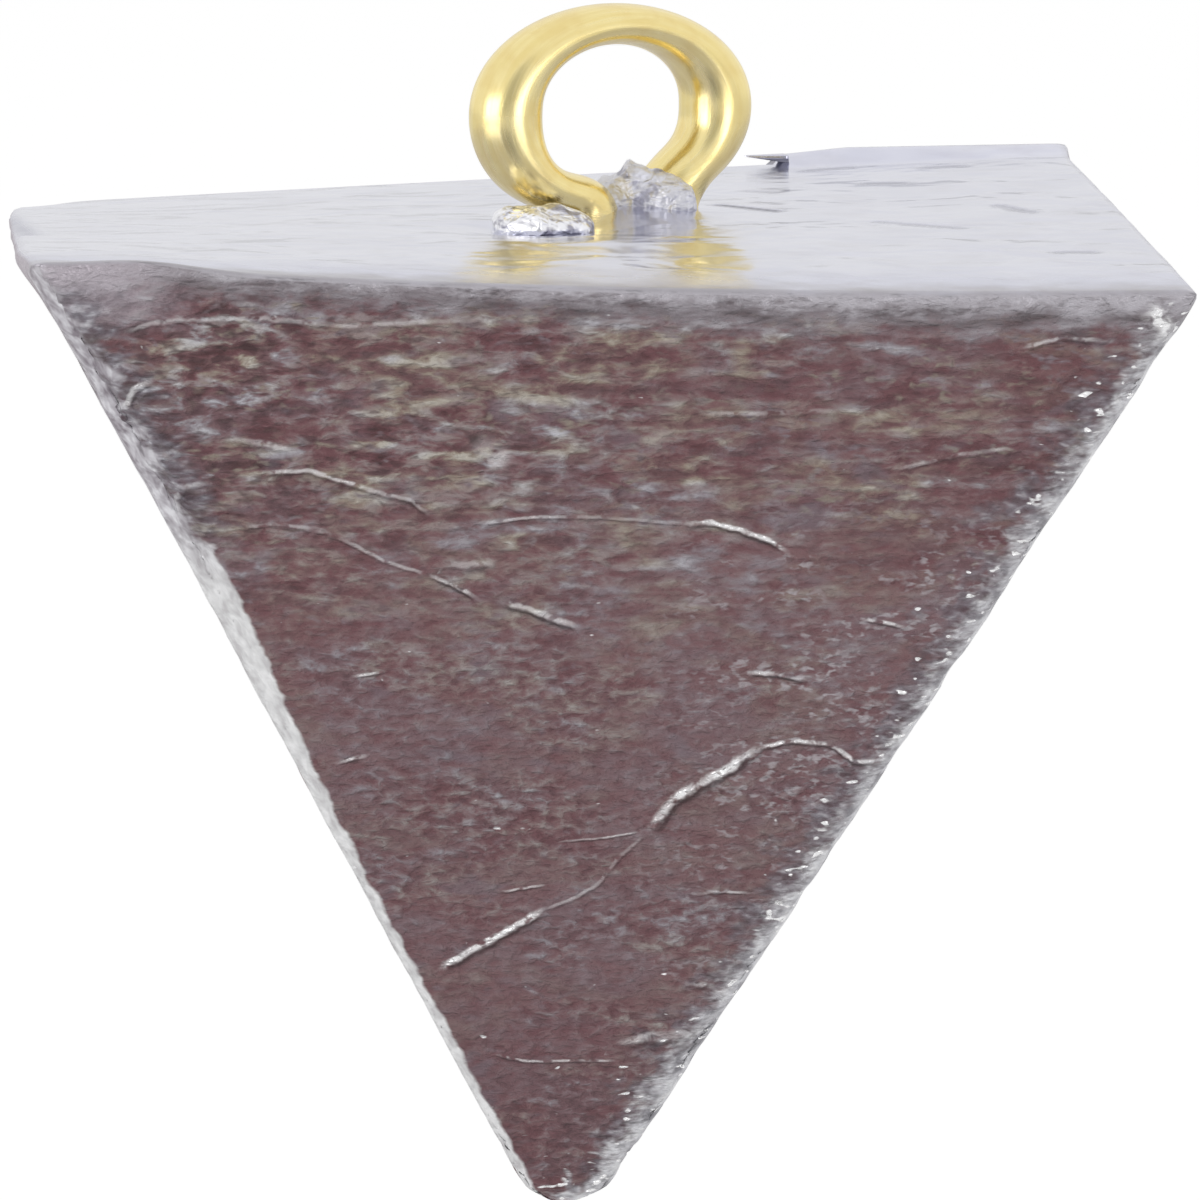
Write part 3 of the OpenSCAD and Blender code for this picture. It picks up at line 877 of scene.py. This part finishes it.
# The poured top, the laps and the brass
TOP_SILVER = rgb(204, 205, 220)
TOP_PALE = rgb(210, 211, 225)
TOP_FILM = rgb(180, 177, 190)
TOP_DULL = rgb(194, 190, 198)
TOP_DULL_EDGE = rgb(180, 176, 183)
# Dark scratches on the top, and the painted shadow under the back lip's sliver
TOP_SCRATCH_AND_SHADOW = rgb(52, 48, 54)
FLASH_BRIGHT = rgb(226, 226, 233)
FLASH_GREY = rgb(176, 175, 188)
BEAD_BRIGHT = rgb(244, 244, 248)
BEAD_GREY = rgb(168, 166, 178)
BRASS = rgb(237, 218, 152)
BRASS_PALE = rgb(243, 227, 168)
BRASS_TARNISH = rgb(226, 200, 132)

# Patches on the lead: size across and up in mm, where the mask starts and is full, seed, fineness
LIVELY_PATCH = (4.2, 2.4, 0.44, 0.64, 1.7)
WARM_PATCH = (2.8, 1.3, 0.42, 0.6, 9.4)
RED_PATCH = (1.5, 0.6, 0.44, 0.6, 14.1)
DRIFT_PATCH = (2.6, 1.1, 0.4, 0.6, 26.0)
FLECK_PATCH = (0.46, 0.22, 0.5, 0.74, 28.4, 1.5)
BEIGE_PATCH = (3.5, 2.0, 0.42, 0.6, 35.0)
PIT_PATCH = (0.5, 0.19, 0.5, 0.72, 33.9, 1.5)
# Where the painted sheen's pale flecks lie, and how they gather
SHEEN_FLECK_PATCH = (0.32, 0.17, 0.5, 0.7, 55.0, 1.0)
SHEEN_FLECK_DRIFT = (1.9, 1.0, 0.44, 0.58, 58.0)
SHEEN_PATCH = (2.2, 1.0, 0.6, 0.74, 23.3)
CREASE_BREAKS = (0.45, 0.45, 0.36, 0.5, 52.0)
CREASE_FADES = (2.0, 2.0, 0.4, 0.56, 57.0)
TOP_PATCH = (3.2, 3.2, 0.4, 0.62, 61.0)
FILM_PATCH = (1.6, 1.0, 0.46, 0.76, 77.0, 3.0)
TARNISH_PATCH = (0.9, 0.9, 0.42, 0.7, 7.0)
LAP_PATCH = (0.55, 0.3, 0.5, 0.66, 3.0)

# Noise without limits: size across and up in mm, seed, fineness
LOW_GRAIN = (0.44, 0.25, 15.2, 3.0)
HIGH_GRAIN = (0.8, 0.37, 5.2, 3.5)
STREAK_NOISE = (4.5, 0.5, 19.0)
EDGE_WANDER = (1.0, 0.6, 44.0)
FRINGE_WANDER = (0.8, 0.5, 47.0)
FINE_WANDER = (0.3, 0.13, 41.0, 1.0)
FRINGE_GRAIN = (0.45, 0.2, 62.0, 1.5)
CREASE_JITTER = (0.3, 0.3, 50.0, 1.0)
EDGE_GRAIN = (0.6, 0.7, 66.0)
LAND_GRAIN = (0.35, 2.2, 73.0)
RIM_GRAIN = (1.8, 0.35, 69.0)
SPECKS = (0.4, 0.2, 31.8, 0.5)
DULL_WANDER = (1.5, 1.0, 83.0, 3.0)
FINE_RELIEF = (0.24, 0.15, 81.0)
TOP_WAVE = (3.0, 3.0, 91.0)
LAP_GRAIN = (0.45, 0.3, 12.0)


# Materials

class CastLead(Metal):
    """The casting's finish: bloomed flanks with creases, bare metal on the edges, a bright poured top."""

    def __init__(self, tree, flecks):
        super().__init__(tree, flecks)
        self.place = self.add("SeparateXYZ", {0: self.mm}).outputs
        self.depth = self.math("SUBTRACT", AXIS.z, self.place[2])
        self.upper = self.ramp(self.depth, 15.0, 5.0)
        self.left = self.ramp(self.place[0], 6.0, -13.0)
        self.grain = self.blend(self.upper, self.noise(*LOW_GRAIN), self.noise(*HIGH_GRAIN))
        self.wander = self.walk(1.0, *EDGE_WANDER)
        self.fringe_walk = self.walk(5.0, *FRINGE_WANDER)
        self.fine_walk = self.walk(1.5, *FINE_WANDER)
        self.fringe = self.ramp(self.plus(self.mark("arris_gap"), self.fringe_walk), 1.5, 0.1)
        self.corner = self.times(self.ramp(self.place[0], -12.2, -15.2),
                                 self.ramp(self.mark("rim_gap"), 1.9, 0.9))

    def worn_share(self):
        """How far the bloom is worn: livelier towards the top, lower at both ends of the top."""
        upper = self.upper
        lively = self.blend(self.patch(*LIVELY_PATCH), self.blend(upper, 0.26, 0.5),
                            self.blend(upper, 0.75, 0.85))
        lively = self.times(lively, self.blend(upper, 1.0, self.blend(self.left, 1.0, 2.0)))
        from_middle = self.math("ABSOLUTE", self.plus(self.place[0], 1.5))
        ends = self.times(self.ramp(from_middle, 4.0, 12.0), upper)
        middle = self.plus(self.times(ends, -0.075), self.ramp(self.depth, 20.0, 26.0, 0.585, 0.53),
                           self.times(upper, 0.035))
        streak = self.times(self.walk(0.45, *STREAK_NOISE), upper)
        return self.plus(self.times(self.off_centre(self.grain), lively), middle, streak)

    def bloom(self):
        """Mauve-brown bloom in warm, cool and red patches, with pale flecks and pits; over it a painted
        sheen of pale flecks right of the middle and of soft blue-grey patches.
        """
        upper, depth = self.upper, self.depth
        worn = self.worn_share()
        warm = self.times(self.patch(*WARM_PATCH), self.blend(upper, 0.5, 1.0))
        bloom = self.mix(warm, self.shades(worn, COOL_BLOOM), self.shades(worn, WARM_BLOOM))
        red = self.times(self.patch(*RED_PATCH), self.blend(upper, 0.65, 0.85))
        bloom = self.mix(red, bloom, self.shades(worn, RED_BLOOM))
        drift = self.times(self.blend(self.patch(*DRIFT_PATCH), 0.15, 1.0), self.blend(upper, 0.3, 1.0))
        beige = self.times(self.patch(*BEIGE_PATCH), upper)
        bloom = self.mix(self.times(self.patch(*FLECK_PATCH), drift), bloom,
                         self.mix(beige, FLECK_GREY, FLECK_BEIGE))
        pit = self.times(self.patch(*PIT_PATCH), self.blend(self.left, 0.3, 0.7), upper)
        bloom = self.mix(pit, bloom, PIT_BROWN)
        # A painted sheen: pale flecks right of the middle, fading out towards the top and the tip
        sheen_fleck_region = self.times(self.ramp(self.place[0], -1.5, 4.0), self.ramp(depth, 5.5, 9.0),
                             self.ramp(depth, 25.0, 19.0))
        sheen_fleck = self.times(self.patch(*SHEEN_FLECK_PATCH), self.patch(*SHEEN_FLECK_DRIFT), sheen_fleck_region, 0.85)
        bloom = self.mix(sheen_fleck, bloom, PALE_SHEEN_FLECK)
        bloom = self.mix(self.times(self.patch(*SHEEN_PATCH), 0.35), bloom, SHEEN_BLUE)
        return self.mix(self.times(self.corner, 0.8), bloom, self.shades(self.grain, CORNER_SHADES))

    def creases(self):
        """Lit share, dark share and height of the creases: lit above, dark below, broken up."""
        side = self.math("DIVIDE", self.mark("crease_side"), self.mark("crease_wide"))
        side = self.plus(side, self.walk(1.3, *CREASE_JITTER))
        glow = self.mark("crease_glow")
        broken = self.times(self.patch(*CREASE_BREAKS), self.blend(self.patch(*CREASE_FADES), 0.45, 1.0))
        lit = self.times(self.ramp(side, -1.5, -0.4), self.ramp(side, 1.3, 0.0), glow)
        lit = self.math("MULTIPLY", lit, broken, True)
        shadow = self.times(self.ramp(side, 0.3, 0.9), self.ramp(side, 3.0, 1.2), glow, 0.7)
        ridge = self.times(self.ramp(side, -1.5, 0.6), self.ramp(side, 2.0, 0.8), glow, 0.3)
        return lit, shadow, ridge

    def land(self):
        """The parting's flat land: its share, its colour and the fringe beside its high part."""
        depth, gap = self.depth, self.mark("land_gap")
        high = self.ramp(depth, 8.5, 6.5)
        edge = self.plus(gap, self.times(high, 0.3),
                         self.times(self.wander, self.ramp(depth, 9.0, 6.5, 0.4, 2.6)))
        softness = self.ramp(depth, 8.5, 6.5, 0.07, 0.3)
        share = self.ramp(edge, softness, self.times(softness, -1.0))
        grain = self.noise(*LAND_GRAIN)
        metal = self.mix(self.ramp(depth, 9.5, 6.5), self.shades(grain, LAND_SHADES),
                         self.shades(grain, HIGH_LAND_SHADES))
        fringe = self.ramp(self.plus(gap, self.times(self.fringe_walk, 0.7)), 1.3, 0.0)
        return share, metal, self.times(fringe, high, 0.75)

    def rim(self):
        """The rolled rim's share and colour."""
        place = self.plus(self.mark("rim_gap"), self.wander, self.times(self.fine_walk, 0.45),
                          self.ramp(self.place[0], -9.0, 8.0, 0.22, -0.2))
        metal = self.mix(self.ramp(place, 0.3, -0.35), self.shades(self.noise(*RIM_GRAIN), RIM_SHADES),
                         RIM_EDGE)
        return self.ramp(place, 1.05, 0.2), self.mix(self.corner, metal, RIM_CORNER)

    def arris(self):
        place = self.plus(self.mark("arris_gap"), self.times(self.wander, 1.2),
                          self.times(self.fine_walk, 0.6))
        return self.ramp(place, 0.45, -0.4)

    def tip(self):
        return self.ramp(self.plus(self.mark("tip_gap"), self.times(self.wander, 5.0)), 0.45, -0.35)

    def specks(self):
        """Small glints on high spots, most of them near the arrises and the tip."""
        near_edge = self.most(self.fringe, self.ramp(self.depth, 23.0, 28.0, 0.0, 0.7))
        return self.ramp(self.plus(self.noise(*SPECKS), self.times(near_edge, 0.15)), 0.8, 0.87)

    def poured_top(self, scratch_and_shadow):
        """The top's colour, and how dull and how hazy it is towards its front edge."""
        metal = self.mix(self.patch(*TOP_PATCH), TOP_SILVER, TOP_PALE)
        metal = self.mix(self.times(self.patch(*FILM_PATCH), 0.32), metal, TOP_FILM)
        place = self.plus(self.mark("edge_gap"), self.walk(3.5, *DULL_WANDER))
        dull = self.ramp(place, 2.7, 0.1)
        metal = self.mix(dull, metal, self.mix(self.ramp(place, 1.0, -0.2), TOP_DULL, TOP_DULL_EDGE))
        return self.mix(scratch_and_shadow, metal, TOP_SCRATCH_AND_SHADOW), dull, self.ramp(place, 6.0, 1.5)


def lead_material(flecks):
    material = new_material("cast_lead")
    f = CastLead(material.node_tree, flecks)
    top, scratch_and_shadow = f.mark("top"), f.mark("scratch_and_shadow")
    lit, shadow, ridge = f.creases()
    land, land_metal, land_fringe = f.land()
    rim, rim_metal = f.rim()
    arris, tip = f.arris(), f.tip()
    glint = f.most(lit, f.specks())
    top_metal, dull, hazy = f.poured_top(scratch_and_shadow)

    fringe_shade = f.shades(f.plus(f.walk(1.3, *FRINGE_GRAIN), 0.5), FRINGE_SHADES)
    # Bare metal on the arrises and the tip, painted near white as a highlight along the edges
    bare_edge_with_highlight = f.shades(f.noise(*EDGE_GRAIN), EDGE_SHADES_WITH_HIGHLIGHT)
    colour = f.mix(f.times(f.fringe, 0.62), f.bloom(), fringe_shade)
    for share, shade in ((shadow, CREASE_SHADOW), (land_fringe, fringe_shade), (arris, bare_edge_with_highlight),
                         (tip, bare_edge_with_highlight), (rim, rim_metal), (land, land_metal),
                         (glint, GLINT_WHITE), (top, top_metal)):
        colour = f.mix(share, colour, shade)

    bare = f.most(f.times(f.most(arris, tip), 0.5), f.times(land, 0.4), f.times(rim, 0.3))
    bright_top = f.math("SUBTRACT", f.math("SUBTRACT", top, scratch_and_shadow), f.times(dull, 0.95), True)
    metallic = f.most(bare, bright_top, glint)
    rough = f.blend(glint, f.blend(bare, 0.5, 0.36), 0.24)
    rough = f.blend(top, rough, f.blend(hazy, 0.16, 0.3))
    rough = f.blend(scratch_and_shadow, rough, 0.9)

    # Relief: flecks stand up, the top is only wavy
    relief = f.plus(f.off_centre(f.grain), f.walk(0.25, *FINE_RELIEF))
    relief = f.plus(f.times(relief, f.blend(land, 1.0, 0.2)), ridge)
    wave = f.plus(f.walk(0.6, *TOP_WAVE), f.times(scratch_and_shadow, -0.5))
    f.close(colour, metallic, rough, f.blend(top, relief, wave), 1.0, 0.3 * MM, Specular_IOR_Level=0.35)
    return material


def brass_material(flecks):
    material = new_material("drawn_brass")
    f = Metal(material.node_tree, flecks)
    turned = f.add("VectorRotate", {"Vector": f.mm, "Angle": math.radians(-EYE_TURN)},
                   rotation_type="Z_AXIS").outputs[0]
    x, y, z = f.add("SeparateXYZ", {0: turned}).outputs
    radius = f.math("SQRT", f.plus(f.math("POWER", f.math("DIVIDE", x, LOOP_A), 2.0),
                                   f.math("POWER", f.math("DIVIDE", z, LOOP_B), 2.0)))
    swing = f.math("ARCTAN2", z, x)
    # Drawing marks run along the wire
    along = f.add("CombineXYZ", {0: f.times(radius, 14.0), 1: f.times(y, 5.0), 2: f.times(swing, 1.2)})
    streak = f.add("TexNoise", {"Vector": along.outputs[0], "Scale": 1.0, "Detail": 3.0,
                                "Roughness": 0.6}).outputs[0]
    colour = f.mix(f.ramp(streak, 0.35, 0.7), BRASS, BRASS_PALE)
    colour = f.mix(f.times(f.patch(*TARNISH_PATCH), 0.4), colour, BRASS_TARNISH)
    f.close(colour, 1.0, f.ramp(streak, 0.3, 0.7, 0.21, 0.28), streak, 0.5, 0.02 * MM)
    return material


def lap_material(flecks, name, bright, grey, metallic, roughness):
    material = new_material(name)
    f = Metal(material.node_tree, flecks)
    colour = f.mix(f.patch(*LAP_PATCH), bright, grey)
    f.close(colour, metallic, roughness, f.noise(*LAP_GRAIN), 1.0, 0.18 * MM)
    return material


# The scene

def place_piece(piece, node, material):
    piece.data.materials.clear()
    piece.data.materials.append(material)
    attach(piece, "root")
    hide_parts(node)


studio()
camera()
flecks = fleck_group()
lead = lead_material(flecks)
brass = brass_material(flecks)
flash_metal = lap_material(flecks, "flash_lead", FLASH_BRIGHT, FLASH_GREY, 0.7, 0.46)
bead_metal = lap_material(flecks, "bead_lead", BEAD_BRIGHT, BEAD_GREY, 0.9, 0.28)
place_piece(lead_casting(), "lead_body", lead)
place_piece(brass_loop(), "brass_eye", brass)
place_piece(cold_lap("flash_between_legs", **FLASH), "eye_flash", flash_metal)
place_piece(cold_lap("bead_at_foot", **BEAD), "foot_bead", bead_metal)
